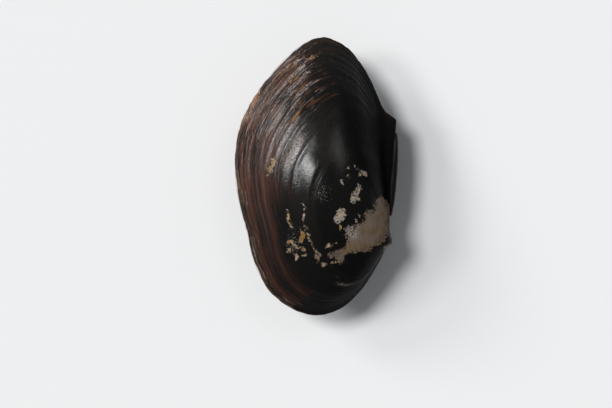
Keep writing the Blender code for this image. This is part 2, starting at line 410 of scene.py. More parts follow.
def margin_curve():
    """The margin, resampled at even distances, and the distance of each point along it."""
    points = np.array(MARGIN)
    along = np.concatenate([[0.0], np.cumsum(np.linalg.norm(np.diff(points[:, :2], axis=0), axis=1))])
    slopes = np.gradient(points, along, axis=0)
    place = np.linspace(0, len(points) - 1, 40 * len(points))
    i = np.minimum(place.astype(int), len(points) - 2)
    f = (place - i)[:, None]
    length = (along[i + 1] - along[i])[:, None]
    fine = (
        (1 + 2 * f) * (1 - f) ** 2 * points[i]
        + f * (1 - f) ** 2 * length * slopes[i]
        + f * f * (3 - 2 * f) * points[i + 1]
        + f * f * (f - 1) * length * slopes[i + 1]
    )
    run = np.concatenate([[0.0], np.cumsum(np.linalg.norm(np.diff(fine[:, :2], axis=0), axis=1))])
    even = np.linspace(0, run[-1], COLUMNS)
    return np.stack([np.interp(even, run, fine[:, k]) for k in range(3)], axis=1), even


CURVE, CURVE_RUN = margin_curve()
CURVE_ANGLES = np.arctan2(CURVE[:, 1], CURVE[:, 0]) % (2 * math.pi)
CURVE_RADII = np.hypot(CURVE[:, 0], CURVE[:, 1])


def smoothstep(low, high, value):
    f = np.clip((value - low) / (high - low), 0.0, 1.0)
    return f * f * (3 - 2 * f)


def soft_noise(rng, x, y):
    """Smooth noise from -1 to 1, one random value for each whole step of x and y."""
    ix, iy = np.floor(x).astype(int), np.floor(y).astype(int)
    ix0, iy0 = ix.min(), iy.min()
    values = rng.uniform(-1, 1, (ix.max() - ix0 + 2, iy.max() - iy0 + 2))
    fx, fy = x - ix, y - iy
    fx, fy = fx * fx * (3 - 2 * fx), fy * fy * (3 - 2 * fy)
    a, b = ix - ix0, iy - iy0
    near = values[a, b] * (1 - fx) + values[a + 1, b] * fx
    far = values[a, b + 1] * (1 - fx) + values[a + 1, b + 1] * fx
    return near * (1 - fy) + far * fy


# The smooth valve


def beak_fade(radius, share):
    """1 at the beak, falling to nothing along the growth ray of this radius."""
    return np.exp(-((radius * share / BEAK_REACH) ** 2)) * (1 - share)


def ring_turn(share):
    """Angle by which the growth ring at this share stands up about the hinge line."""
    return RING_CURL * np.log(1 / np.maximum(share, 1e-6))


def outer_rise(reach, swell, radius, share):
    """Height of the smooth valve at this share of a growth ray that reaches this far from the hinge."""
    turned = reach * share * np.sin(ring_turn(share))
    swollen = swell * (1 - share**FULLNESS) * (1 - np.exp(-share / SWELL_RISE))
    return turned + swollen + BEAK_HEIGHT * beak_fade(radius, share) + HINGE_EDGE * (1 - share)


def smooth_outside(share):
    """The outside of the smooth valve: an array of places by ring and column."""
    x, y, swell = CURVE.T
    lean = beak_fade(CURVE_RADII, share)
    across = x * share * np.cos(ring_turn(share)) + BEAK_LEAN[0] * lean
    height = HALF_GAP + outer_rise(-x, swell, CURVE_RADII, share)
    return np.stack([across, y * share + BEAK_LEAN[1] * lean, height], axis=-1)


def ring_over(x, y):
    """The share of the growth ring over each point, and the angle of its ray in the final margin."""
    low = np.full(np.shape(x), math.exp(-math.pi / 2 / RING_CURL))
    high = np.ones(np.shape(x))
    for _ in range(SEARCH_STEPS):
        share = (low + high) / 2
        unturned = x / np.cos(ring_turn(share))
        angle = np.arctan2(y, unturned) % (2 * math.pi)
        beyond = np.hypot(unturned, y) > share * np.interp(angle, CURVE_ANGLES, CURVE_RADII)
        low = np.where(beyond, share, low)
        high = np.where(beyond, high, share)
    return high, angle


def outer_height(x, y):
    share, angle = ring_over(x, y)
    radius = np.interp(angle, CURVE_ANGLES, CURVE_RADII)
    swell = np.interp(angle, CURVE_ANGLES, CURVE[:, 2])
    outside = (angle <= CURVE_ANGLES[0]) | (angle >= CURVE_ANGLES[-1]) | (share == 1.0)
    return np.where(outside, -1.0, HALF_GAP + outer_rise(-radius * np.cos(angle), swell, radius, share))


# Hollow of a valve


def cavity_height(x, y):
    step = 0.5
    slope_x = (outer_height(x + step, y) - outer_height(x - step, y)) / (2 * step)
    slope_y = (outer_height(x, y + step) - outer_height(x, y - step)) / (2 * step)
    wall = WALL_MARGIN + (WALL_MIDDLE - WALL_MARGIN) * (1 - ring_over(x, y)[0] ** 4)
    wall = wall + HINGE_PLATE * np.exp(-((x / HINGE_PLATE_REACH) ** 2))
    return outer_height(x, y) - wall * np.sqrt(1 + slope_x**2 + slope_y**2)


def cavity_edge(base):
    """Where the hollow meets the rim, on each line from its centre to a point of the base outline."""
    centre = np.array(CAVITY_CENTRE)
    inside = np.full(len(base), 0.3)
    outside = np.ones(len(base))
    for _ in range(SEARCH_STEPS):
        middle = (inside + outside) / 2
        places = centre + middle[:, None] * (base - centre)
        deep = cavity_height(places[:, 0], places[:, 1]) > HALF_GAP
        inside = np.where(deep, middle, inside)
        outside = np.where(deep, outside, middle)
    return centre + inside[:, None] * (base - centre)


# Growth lines


def random_bands(rng):
    """Smaller bands, closer together near the margin."""
    places = sorted(FOLDS_FIRST + (1 - FOLDS_FIRST) * rng.random(FOLDS) ** 0.75)
    folds = [(at, rng.uniform(*FOLD_HEIGHT), 0.0, FOLD_SIDE) for at in places]
    return folds + [(1.0, FOLD_HEIGHT[0], 0.0, FOLD_SIDE)]


def fine_lines(rng):
    """Fine growth lines, closer together near the margin: place, height and back of each."""
    places = FINE_FIRST + (FINE_LAST - FINE_FIRST) * rng.random(FINE_LINES) ** 0.7
    return [(at, rng.uniform(*FINE_HEIGHT), rng.uniform(*FINE_BACK)) for at in places]


def ring_shares(bands, lines):
    """Shares at which the rings of the mesh lie: even, with more at the grooves and the lines."""
    shares = list(np.linspace(FIRST_RING, 1.0, EVEN_RINGS))
    for at, *_ in bands:
        shares += [at - GROOVE_SIDE, at, at + GROOVE_SIDE]
    for at, _, _ in lines:
        shares += [at, at + FINE_DROP]
    kept = []
    for share in sorted(shares):
        if share <= 1.0 and (not kept or share - kept[-1] > RING_SPACING):
            kept.append(share)
    kept[-1] = 1.0
    return np.array(kept)


def wandering_strength(rng, base, swing, pace, number):
    """How strong one line is along the margin, from 0 to 1."""
    return np.clip(base + swing * soft_noise(rng, CURVE_RUN * pace, np.full(COLUMNS, number)), 0, 1)


def along_margin(table, column):
    """A column of a table by distance along the margin, at each column of the mesh, with rounded corners."""
    values = np.interp(CURVE_RUN, *np.array(table)[:, [0, column]].T)
    window = np.hanning(2 * ROUNDING + 1)
    return np.convolve(np.pad(values, ROUNDING, mode="edge"), window / window.sum(), mode="valid")


def band_relief(rng, shares, bands, base, swing, pace):
    """Rounded bands with grooves between them, some of them leaning."""
    relief = np.zeros((len(shares), COLUMNS))
    start = 0.0
    for number, (end, height, lean, side) in enumerate(bands):
        part = np.clip((shares - start) / (end - start), 0, 1)
        profile = smoothstep(0, side, part) * smoothstep(1, 1 - side, part) * (1 + lean * (2 * part - 1))
        relief += height * profile[:, None] * wandering_strength(rng, base, swing, pace, number)
        start = end
    return relief


def line_relief(rng, shares, lines):
    """Fine lines: a slow rounded rise to each crest, then a quick fall."""
    relief = np.zeros((len(shares), COLUMNS))
    for number, (at, height, back) in enumerate(lines):
        profile = smoothstep(at - back, at, shares) * smoothstep(at + FINE_DROP, at, shares)
        pace = rng.uniform(0.02, 0.05)
        relief += height * profile[:, None] * wandering_strength(rng, 0.5, 0.65, pace, number)
    return relief


def growth_relief(rng, shares, folds, lines):
    """Height of the bands, the fine lines, the unevenness and the flaky layers, by ring and column."""
    ring, run = np.meshgrid(shares, CURVE_RUN, indexing="ij")
    relief = band_relief(rng, shares, BANDS, 0.85, 0.2, 1 / 40)
    relief += band_relief(rng, shares, folds, 0.55, 0.6, 1 / 24)
    relief += line_relief(rng, shares, lines)
    relief *= along_margin(LINES_ALONG, 1)
    relief *= 1 - INNER_FADE * smoothstep(*INNER_FADE_RINGS, ring) * smoothstep(*INNER_FADE_RUN, run)
    rolls = soft_noise(rng, ring * 26, run / 60) + 0.4 * soft_noise(rng, ring * 60, run / 30)
    relief += ROLL_HEIGHT * rolls * smoothstep(0.3, 0.55, ring)
    dents = soft_noise(rng, ring * 18, run * ring / 5) + 0.5 * soft_noise(rng, ring * 40, run * ring / 2.4)
    dents *= smoothstep(0.50, 0.68, ring)
    return relief + DENT_HEIGHT * dents + flakes(rng, ring, run) - LINES_SINK


def flaky_zone(ring, run):
    """How flaky the coat is: most of all near the margin, from the posterior end to the belly."""
    upper = smoothstep(0.58, 0.95, ring) * smoothstep(55, 82, run) * smoothstep(150, 108, run)
    lower = smoothstep(0.88, 1.0, ring) * smoothstep(105, 140, run) * smoothstep(225, 222, run)
    return upper + 0.7 * lower


def flakes(rng, ring, run):
    """Ragged overlapping layers: saw teeth across the rings, which wander and break along them."""
    wander = 0.8 * soft_noise(rng, ring * 40, run / 7) + 0.5 * soft_noise(rng, ring * 40, run / 2.6)
    tooth = (ring * GROWTH_MM / FLAKE_STEP + wander) % 1.0
    broken = 0.6 + 0.4 * soft_noise(rng, ring * 60, run / 5)
    height = FLAKE_HEIGHT * tooth * broken * flaky_zone(ring, run)
    jagged = run + BREAK_JAGS * soft_noise(rng, ring * 60, run * 0)
    for edge, faded in BREAKS:
        away = (jagged - edge) / (faded - edge)
        side = smoothstep(-0.03, 0.03, away) * smoothstep(1.0, 0.08, away)
        height += BREAK_STEP * side * smoothstep(0.80, 0.88, ring)
    return height


def wandering_shares(rng, shares):
    """The share of each ring at each column: the rings wander a little, and the margin is chipped."""
    ring, run = np.meshgrid(shares, CURVE_RUN, indexing="ij")
    ends = smoothstep(0, 12, CURVE_RUN) * smoothstep(CURVE_RUN[-1], CURVE_RUN[-1] - 12, CURVE_RUN)
    wander = 0.006 * soft_noise(rng, ring * 9, run / 26) + 0.0025 * soft_noise(rng, ring * 30, run / 9)
    wander *= smoothstep(0.05, 0.3, ring) * smoothstep(1.0, 0.9, ring) * ends
    chips = 0.5 + 0.5 * soft_noise(rng, CURVE_RUN / 14, np.zeros(COLUMNS))
    chips += 0.5 * np.maximum(0, soft_noise(rng, CURVE_RUN / 2.3, np.zeros(COLUMNS)))
    return (ring + wander) * (1 - MARGIN_CHIPS * chips * ends * smoothstep(0.8, 1.0, ring))


# Wear and colour zones


def outline_depth(x, y, outline):
    """How deep each place lies inside a closed outline, in millimetres; negative outside."""
    nearest = np.full(np.shape(x), np.inf)
    inside = np.zeros(np.shape(x), dtype=bool)
    for (x0, y0), (x1, y1) in zip(outline, outline[1:] + outline[:1]):
        along = ((x - x0) * (x1 - x0) + (y - y0) * (y1 - y0)) / ((x1 - x0) ** 2 + (y1 - y0) ** 2)
        along = np.clip(along, 0.0, 1.0)
        nearest = np.minimum(nearest, np.hypot(x - x0 - along * (x1 - x0), y - y0 - along * (y1 - y0)))
        if y0 != y1:
            crossing = x0 + (y - y0) * (x1 - x0) / (y1 - y0)
            inside ^= ((y0 > y) != (y1 > y)) & (x < crossing)
    return np.where(inside, nearest, -nearest)


def spot_depth(x, y, spot):
    """How deep each place lies inside an oval spot, in millimetres; negative outside."""
    centre_x, centre_y, half_length, half_width, turn, _ = spot
    cos, sin = math.cos(math.radians(turn)), math.sin(math.radians(turn))
    along = ((x - centre_x) * cos + (y - centre_y) * sin) / half_length
    across = ((y - centre_y) * cos - (x - centre_x) * sin) / half_width
    return (1 - np.hypot(along, across)) * half_width


def valve_wear(rng, places, patch, spots):
    """How deep each place is inside the worn parts, in millimetres, and the tone of the nearest one."""
    x, y = places[..., 0], places[..., 1]
    for size, reach in WEAR_WARPS:
        shift_x, shift_y = soft_noise(rng, x / size, y / size), soft_noise(rng, x / size, y / size)
        x, y = x + reach * shift_x, y + reach * shift_y
    depth = outline_depth(x, y, patch)
    tone = np.full(depth.shape, TAN)
    for spot in spots:
        here = spot_depth(x, y, spot)
        tone = np.where(here > depth, spot[-1], tone)
        depth = np.maximum(depth, here)
    return np.maximum(depth, UNWORN), tone


def patch_tint_and_shade(places):
    """How much paler the worn beak is at each place, or duller where negative, partly as painted shade."""
    found = np.zeros(places.shape[:2])
    for x, y, size, amount in PATCH_TINTS_AND_SHADE:
        found += amount * np.exp(-((places[..., 0] - x) ** 2 + (places[..., 1] - y) ** 2) / size**2)
    return found


def streaked(rng, ring, run):
    """How strong the pale streaks are, partly painted highlights on the ridge crests, or the rusty and golden
    ones where negative.
    """
    found = np.zeros(ring.shape)
    wander = 0.004 * soft_noise(rng, ring * 9, run / 16)
    for share, width, first, last, amount in STREAKS:
        along = smoothstep(first - 3, first + 3, run) * smoothstep(last + 7, last - 7, run)
        here = amount * along * np.exp(-(((ring + wander - share) / width) ** 2))
        found = np.where(np.abs(here) > np.abs(found), here, found)
    return found


def glint_freckle_zone(places):
    """How many pale specks there are, from 0 to 1: painted glints."""
    found = np.zeros(places.shape[:2])
    for x, y, half_width, half_length in GLINT_FRECKLES:
        away = ((places[..., 0] - x) / half_width) ** 2 + ((places[..., 1] - y) / half_length) ** 2
        found = np.maximum(found, np.exp(-away))
    return found


def band_tint(rng, ring, run):
    """How brown each growth band is."""
    wander = 0.006 * soft_noise(rng, ring * 12, run / 25)
    return np.interp(ring + wander, *np.array(BAND_BROWN).T)


def brown_zone(rng, ring, run):
    """How brown the coat is, from 0 to 1, with a jagged edge where its outer layers end."""
    run = run + BREAK_JAGS * soft_noise(rng, ring * 60, run * 0)
    run_at, amount, start = np.array(BROWN_COAT).T
    first = np.interp(run, run_at, start)
    begun = smoothstep(first - 0.12, first + 0.20, ring)
    return np.interp(run, run_at, amount) * band_tint(rng, ring, run) * begun


def coat_gloss(ring, run):
    """How much the coat shines."""
    gloss = np.ones(ring.shape) * along_margin(LINES_ALONG, 2)
    for amount, zones in DULL:
        dull = [smoothstep(*rings, ring) * smoothstep(*runs, run) for rings, runs in zones]
        gloss *= 1 - amount * np.maximum.reduce(dull)
    return gloss


# Building a valve


def grid_normals(places):
    across = np.gradient(places, axis=0)
    along = np.gradient(places, axis=1)
    normals = np.cross(across, along)
    return normals / np.maximum(np.linalg.norm(normals, axis=-1, keepdims=True), 1e-9)


def strip(first, second):
    """Faces between two rows of vertices."""
    return [(first[i], second[i], second[i + 1], first[i + 1]) for i in range(len(first) - 1)]


def outside_faces(grid, beak, under, front, back):
    """Faces of the outside, and of the narrow walls under its hinge edge and its anterior edge."""
    faces = [(beak, grid[0, i], grid[0, i + 1]) for i in range(grid.shape[1] - 1)]
    corners = [grid[:-1, :-1], grid[1:, :-1], grid[1:, 1:], grid[:-1, 1:]]
    faces += np.stack(corners, axis=-1).reshape(-1, 4).tolist()
    faces += strip([beak, *grid[:-1, 0]], [under, *front])
    faces.append((grid[-2, 0], front[-1], grid[-1, 0]))
    faces += strip([under, *back], [beak, *grid[:-1, -1]])
    faces.append((back[-1], grid[-2, -1], grid[-1, -1]))
    return faces


def hollow(base, first):
    """Places and faces of the rim and the hollow; first is the number of the next vertex."""
    edge = cavity_edge(base[1][:, :2])
    centre = np.array(CAVITY_CENTRE)
    rings = [np.column_stack([edge, np.full(len(edge), HALF_GAP)])]
    for share in reversed(CAVITY_RINGS):
        ring = centre + share * (edge - centre)
        rings.append(np.column_stack([ring, cavity_height(ring[:, 0], ring[:, 1])]))
    loops = [np.array(base[0])]
    loops += [first + number * len(edge) + np.arange(len(edge)) for number in range(len(rings))]
    faces = []
    for outer, inner in zip(loops, loops[1:]):
        faces += strip([*outer, outer[0]], [*inner, inner[0]])
    middle = first + len(rings) * len(edge)
    last = [*loops[-1], loops[-1][0]]
    faces += [(last[i], middle, last[i + 1]) for i in range(len(edge))]
    top = np.append(centre, cavity_height(*centre))
    return np.concatenate([*rings, top[None]]), faces


def set_vectors(mesh, name, values):
    """Gives the vertices these three values each."""
    mesh.attributes.new(name, "FLOAT_VECTOR", "POINT").data.foreach_set("vector", values.reshape(-1))


def set_attribute(mesh, name, grid_values):
    """Gives the grid's vertices these three values each; the beak takes those of its neighbour."""
    values = np.zeros((len(mesh.vertices), 3))
    flat = grid_values.reshape(-1, 3)
    values[0] = flat[0]
    values[1 : 1 + len(flat)] = flat
    set_vectors(mesh, name, values)


def valve_outside(rng, patch, spots):
    """Ring shares, smooth outside, outside with relief, and the depth and tone of the wear, of a valve."""
    folds, lines = random_bands(rng), fine_lines(rng)
    shares = ring_shares([*BANDS, *folds], lines)
    smooth = smooth_outside(wandering_shares(rng, shares))
    wear, tone = valve_wear(rng, smooth, patch, spots)
    relief = growth_relief(rng, shares, folds, lines) - WEAR_DEPTH * smoothstep(-WEAR_EDGE, WEAR_EDGE, wear)
    relief *= smoothstep(*THIN, smooth[..., 2]) * smoothstep(*RELIEF_RINGS, shares)[:, None]
    outside = smooth + grid_normals(smooth) * relief[..., None]
    outside[-1, :, 2] = HALF_GAP
    return shares, smooth, outside, wear, tone


def closed_surface(shares, outside):
    """Places and faces of a closed valve, and how many of the faces have the coat, not nacre."""
    rings = len(shares)
    count = rings * COLUMNS
    beak = smooth_outside(np.zeros((1, 1)))[0, 0]
    edges = [shares[:-1, None] * end[:2] for end in (CURVE[0], CURVE[-1])]
    flats = [np.column_stack([edge, np.full(len(edge), HALF_GAP)]) for edge in edges]
    placed = np.concatenate([beak[None], outside.reshape(-1, 3), [[0.0, 0.0, HALF_GAP]], *flats])
    grid = 1 + np.arange(count).reshape(rings, COLUMNS)
    under = 1 + count
    front = under + 1 + np.arange(rings - 1)
    back = front[-1] + 1 + np.arange(rings - 1)
    faces = outside_faces(grid, 0, under, front, back)
    coated = len(faces)
    base = [*grid[-1], *back[::-1], under, *front]
    hollow_places, hollow_faces = hollow((base, placed[base]), len(placed))
    return np.concatenate([placed, hollow_places]), faces + hollow_faces, coated


def smooth_mesh(name, places, faces):
    """A smooth mesh from places in the row frame, in metres."""
    mesh = bpy.data.meshes.new(name)
    mesh.from_pydata(places.tolist(), [], [tuple(int(v) for v in face) for face in faces])
    mesh.update()
    mesh.shade_smooth()
    return mesh


def add_object(name, data):
    made = bpy.data.objects.new(name, data)
    bpy.context.scene.collection.objects.link(made)
    return made


def valve_mesh(name, side, placed, faces, coated):
    """The mesh of a valve, mirrored for the left one and kept inside its solid's box."""
    placed[:, 2] *= side
    if side < 0:
        faces = [tuple(reversed(face)) for face in faces]
    low, high = (np.array(corner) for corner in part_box(name[: name.rindex("_")]))
    world = placed * MM + np.array(BEAK)
    world[:, :2] = np.clip(world[:, :2], low[:2], high[:2])
    world[:, 2] = np.clip(world[:, 2], CAD_BOX[0].z, CAD_BOX[1].z)
    mesh = smooth_mesh(name, world, faces)
    mesh.set_sharp_from_angle(angle=math.radians(SHARP_ANGLE))
    mesh.polygons.foreach_set("material_index", [0] * coated + [1] * (len(faces) - coated))
    return mesh


def valve_piece(name, side, patch, spots):
    """One closed valve: side is 1 for the right valve, above, and -1 for the left one."""
    rng = np.random.default_rng(SEED + side)
    shares, smooth, outside, wear, tone = valve_outside(rng, patch, spots)
    mesh = valve_mesh(name, side, *closed_surface(shares, outside))
    ring, run = np.meshgrid(shares, CURVE_RUN, indexing="ij")
    set_attribute(mesh, "growth", np.stack([ring * GROWTH_MM, run * ring, run], axis=-1))
    set_attribute(mesh, "worn", np.stack([wear, tone, coat_gloss(ring, run)], axis=-1))
    zones = [brown_zone(rng, ring, run), flaky_zone(ring, run), glint_freckle_zone(smooth)]
    set_attribute(mesh, "zones", np.stack(zones, axis=-1))
    set_attribute(mesh, "marks", np.stack([streaked(rng, ring, run), patch_tint_and_shade(smooth), ring], axis=-1))
    return add_object(name, mesh)


def ligament_places():
    """Places on the ligament's band, by row and column, and how far round and along it they lie."""
    rng = np.random.default_rng(SEED + 5)
    steps = np.linspace(0.0, 1.0, LIGAMENT_GRID[0])
    turns = np.linspace(-1, 1, LIGAMENT_GRID[1]) * LIGAMENT_TUCK_TURN
    along, turn = np.meshgrid(steps, turns, indexing="ij")
    y = LIGAMENT_START + (LIGAMENT_END - LIGAMENT_START) * along
    size = np.sin(math.pi * np.clip(along, 0.002, 0.998)) ** LIGAMENT_TAPER
    fibres = soft_noise(rng, turn * 5, y / 14) + 0.6 * soft_noise(rng, turn * 12, y / 7)
    size *= 1 - LIGAMENT_FIBRES * (0.5 + 0.3 * fibres)
    reach = np.where(np.abs(turn) < math.pi / 2, LIGAMENT_BULGE, LIGAMENT_TUCK)
    x = LIGAMENT_CLEARANCE + reach * size * np.cos(turn)
    return np.stack([x, y, LIGAMENT_HALF_WIDTH * size * np.sin(turn)], axis=-1), turn, y


def ligament_piece():
    """A bulging band of lengthwise fibres over the hinge line, tucked round both hinge edges."""
    places, turn, y = ligament_places()
    grid = np.arange(turn.size).reshape(turn.shape)
    rows = list(zip(grid, grid[1:]))
    faces = [(after[j], after[j + 1], row[j + 1], row[j]) for row, after in rows for j in range(len(row) - 1)]
    faces += [(after[-1], after[0], row[0], row[-1]) for row, after in rows]
    mesh = smooth_mesh("ligament_band", places.reshape(-1, 3) * MM + np.array(BEAK), faces)
    set_vectors(mesh, "growth", np.stack([turn * LIGAMENT_HALF_WIDTH, y, np.zeros_like(y)], axis=-1))
    return add_object("ligament_band", mesh)


# Materials


BLACK_HORN = (0.0054, 0.005, 0.0048)
# Painted sheen: the horn's colour where the coat shines.
SHEEN_HORN = (0.009, 0.0078, 0.0064)
DARK_BROWN = (0.015, 0.0078, 0.0062)
BROWN = (0.048, 0.018, 0.0115)
RED_BROWN = (0.085, 0.029, 0.016)
GOLDEN = (0.085, 0.045, 0.014)
OLIVE = (0.085, 0.055, 0.026)
BROWN_FLAKE = (0.09, 0.032, 0.016)
SILVER_FLAKE = (0.24, 0.208, 0.202)
RUSTY_FLAKE = (0.2, 0.062, 0.014)
# Pale scuff colour, partly painted highlight on the ridge crests.
SCUFF_AND_HIGHLIGHT = (0.222, 0.176, 0.164)
DARK_PEACH = (0.21, 0.085, 0.04)
PEACH = (0.48, 0.3, 0.215)
DARK_RUST = (0.1, 0.038, 0.016)
RUST = (0.15, 0.075, 0.026)
BRIGHT_GOLD = (0.25, 0.14, 0.03)
# Painted glints on the crumbled coat.
GLINT = (0.225, 0.185, 0.17)
CHINK = (0.005, 0.0036, 0.0034)
GAP = (0.004, 0.003, 0.0028)

WHITE_CHALK = (0.24, 0.225, 0.23)
WARM_CHALK = (0.4, 0.31, 0.2)
PALE_TAN = (0.195, 0.152, 0.122)
DARK_TAN = (0.172, 0.116, 0.064)
TAN_STRIPE = (0.105, 0.07, 0.046)
WHITE_TAN = (0.205, 0.19, 0.195)
# Dull tan, partly painted shade where the beak turns away from the light.
SHADED_DULL_TAN = (0.056, 0.041, 0.043)
TAN_STAIN = (0.12, 0.055, 0.016)
SUGARY_WHITE = (0.38, 0.38, 0.38)
DARK_OCHRE = (0.26, 0.13, 0.03)
PALE_OCHRE = (0.34, 0.26, 0.17)
DARK_CREAM = (0.26, 0.18, 0.1)
PALE_CREAM = (0.36, 0.29, 0.2)
WEAR_RIM = (0.085, 0.045, 0.018)
# Painted glint: the colour of the pale specks.
GLINT_SPECK = (0.15, 0.145, 0.135)

LIGAMENT_BLACK = (0.003, 0.0028, 0.0028)
LIGAMENT_BROWN = (0.01, 0.006, 0.004)
COOL_NACRE = (0.66, 0.64, 0.66)
WARM_NACRE = (0.74, 0.63, 0.58)

# Where these zones begin and are full, as the growth coordinate in millimetres.
CRUMBLY_FROM = (69, 77)
PEACH_FROM = (84, 86)
OLIVE_FROM = (84.5, 86.5)

# Depth of each bump, in metres.
STRIAE_BUMP = 0.00016
PIT_BUMP = 0.00008
SCALE_BUMP = 0.00035
WEAR_BUMP = -0.00012
FIBRE_BUMP = 0.00012


def new_material(name):
    made = bpy.data.materials.new(name)
    made.use_nodes = True
    return made, made.node_tree, made.node_tree.nodes["Principled BSDF"]


def node_after(kind, *inputs):
    """A new node of this kind, in the material that its inputs come from."""
    source = next(value for value in inputs if isinstance(value, bpy.types.NodeSocket))
    return source.id_data.nodes.new(kind)


def feed(socket, value):
    """Links a socket to this value, or sets it to it."""
    if isinstance(value, bpy.types.NodeSocket):
        socket.id_data.links.new(value, socket)
    else:
        socket.default_value = value


def attribute(tree, name):
    found = tree.nodes.new("ShaderNodeAttribute")
    found.attribute_name = name
    return found.outputs["Vector"]


def parts(vector):
    split = node_after("ShaderNodeSeparateXYZ", vector)
    feed(split.inputs[0], vector)
    return split.outputs


def maths(operation, first, second=0.0):
    made = node_after("ShaderNodeMath", first, second)
    made.operation = operation
    feed(made.inputs[0], first)
    feed(made.inputs[1], second)
    return made.outputs[0]


def times(first, second):
    return maths("MULTIPLY", first, second)


def plus(first, second):
    return maths("ADD", first, second)


def minus(first, second):
    return maths("SUBTRACT", first, second)


def stretched(vector, scales):
    made = node_after("ShaderNodeVectorMath", vector)
    made.operation = "MULTIPLY"
    feed(made.inputs[0], vector)
    made.inputs[1].default_value = scales
    return made.outputs[0]


def noise(vector, scale, detail=2.0, roughness=0.5):
    """Noise from about 0 to 1, with scale bumps for each unit of the vector."""
    made = node_after("ShaderNodeTexNoise", vector)
    feed(made.inputs["Vector"], vector)
    made.inputs["Scale"].default_value = scale
    made.inputs["Detail"].default_value = detail
    made.inputs["Roughness"].default_value = roughness
    return made.outputs["Fac"]


def growth_noise(growth, pace, scale, detail=2.0, roughness=0.5):
    """Noise drawn out along the growth lines, where it changes at this pace, against 1 across them."""
    return noise(stretched(growth, (1.0, pace, 0)), scale, detail, roughness)


def ramp(value, low, high, bottom=0.0, top=1.0):
    """Runs smoothly from bottom to top as the value goes from low to high."""
    made = node_after("ShaderNodeMapRange", value)
    made.interpolation_type = "SMOOTHSTEP"
    for socket, number in zip(made.inputs, (value, low, high, bottom, top)):
        feed(socket, number)
    return made.outputs[0]


def mix(factor, first, second):
    made = node_after("ShaderNodeMix", factor)
    made.data_type = "RGBA"
    feed(made.inputs["Factor"], factor)
    for socket, value in ((made.inputs[6], first), (made.inputs[7], second)):
        feed(socket, value if isinstance(value, bpy.types.NodeSocket) else (*value, 1.0))
    return made.outputs[2]


def bump(height, distance, normal=None):
    made = node_after("ShaderNodeBump", height)
    made.inputs["Distance"].default_value = distance
    feed(made.inputs["Height"], height)
    if normal is not None:
        feed(made.inputs["Normal"], normal)
    return made.outputs[0]


def place_mm(tree):
    """Place in the row frame, in millimetres."""
    made = tree.nodes.new("ShaderNodeTexCoord")
    return stretched(made.outputs["Object"], (1000, 1000, 1000))


def wear_mask(depth, glint_freckled, place):
    """1 where the coat is worn off, how deep inside the worn part a place is, and 1 in single specks, which
    are painted glints.
    """
    ragged = times(minus(noise(place, 0.8, 5.0, 0.68), 0.46), 4.5)
    depth = plus(depth, ragged)
    crumbs = ramp(noise(place, 1.3, 3.0), 0.54, 0.62, 0.0, 1.8)
    islands = ramp(noise(place, 1.1, 3.0), 0.70, 0.74, 0.0, 9.0)
    depth = minus(minus(depth, crumbs), islands)
    crowding = plus(0.9, times(glint_freckled, 0.34))
    # Painted glints as pale specks, also made rough like bare shell.
    glint_specks = ramp(times(noise(place, 2.0, 1.0), crowding), 0.72, 0.76)
    return maths("MAXIMUM", ramp(depth, -0.05, 0.08), glint_specks), depth, glint_specks


def horn_colour(brown, gloss, streaks, fine, place):
    """Near-black horn, turning brown in streaks and patches, and painted lighter as sheen where the coat
    shines.
    """
    patches = noise(place, 0.07, 3.0)
    uneven = plus(times(streaks, 1.6), times(patches, 0.9))
    amount = ramp(plus(minus(uneven, 1.25), brown), 0.25, 1.05)
    reddest = mix(ramp(brown, 0.9, 1.3), BROWN, RED_BROWN)
    brown_horn = mix(ramp(fine, 0.2, 0.8), DARK_BROWN, reddest)
    # Painted sheen: lighter horn, in patches, where the gloss is high.
    painted_sheen = times(ramp(gloss, 0.10, 0.34), ramp(patches, 0.35, 0.55, 0.5, 1.0))
    return mix(amount, mix(painted_sheen, BLACK_HORN, SHEEN_HORN), brown_horn)


def gilded(colour, growth, brown, flaky, streaks, place):
    """The colour with thin golden streaks, and a broken olive line near the margin."""
    gold = ramp(growth_noise(growth, 0.025, 1.5), 0.60, 0.72)
    golden = times(gold, ramp(flaky, 0.0, 0.6, 0.12, 1.0))
    colour = mix(times(golden, brown), colour, GOLDEN)
    olive = times(ramp(parts(growth)[0], *OLIVE_FROM), brown)
    broken = ramp(plus(streaks, times(noise(place, 0.35, 3.0), 0.8)), 0.80, 1.05)
    return mix(times(olive, broken), colour, OLIVE)


def flaked(colour, growth, flaky, grain):
    """The colour with lifted flakes: brown, silvery or rusty."""
    reach = plus(grain, times(flaky, 0.16))
    lifted = times(ramp(reach, 0.56, 0.76), ramp(flaky, 0.0, 0.35))
    silver = ramp(growth_noise(growth, 0.06, 0.75, 4.0, 0.6), 0.52, 0.62)
    rust = ramp(growth_noise(growth, 0.035, 1.25, 3.0, 0.6), 0.54, 0.64)
    flake = mix(rust, mix(silver, BROWN_FLAKE, SILVER_FLAKE), RUSTY_FLAKE)
    return mix(lifted, colour, flake)


def scuffs_and_highlights(colour, growth, strength, grain, place):
    """The colour with the marked streaks: pale scuffs partly painted as ridge highlights, peach at the
    margin, or rust and gold where negative.
    """
    pitted = ramp(noise(place, 1.3, 2.0, 0.6), 0.38, 0.54)
    blotches = ramp(noise(place, 0.5, 4.0, 0.65), 0.42, 0.62)
    peach = ramp(parts(growth)[0], *PEACH_FROM)
    scuff_and_highlight = mix(peach, SCUFF_AND_HIGHLIGHT, mix(blotches, DARK_PEACH, PEACH))
    # Pale scuffs, partly painted highlights on the ridge crests.
    colour = mix(times(ramp(strength, 0.0, 1.0), pitted), colour, scuff_and_highlight)
    rusty = times(ramp(strength, 0.0, -1.0), ramp(grain, 0.35, 0.55))
    rust = mix(ramp(grain, 0.45, 0.62), DARK_RUST, RUST)
    return mix(rusty, colour, mix(ramp(strength, -1.0, -1.3), rust, BRIGHT_GOLD))


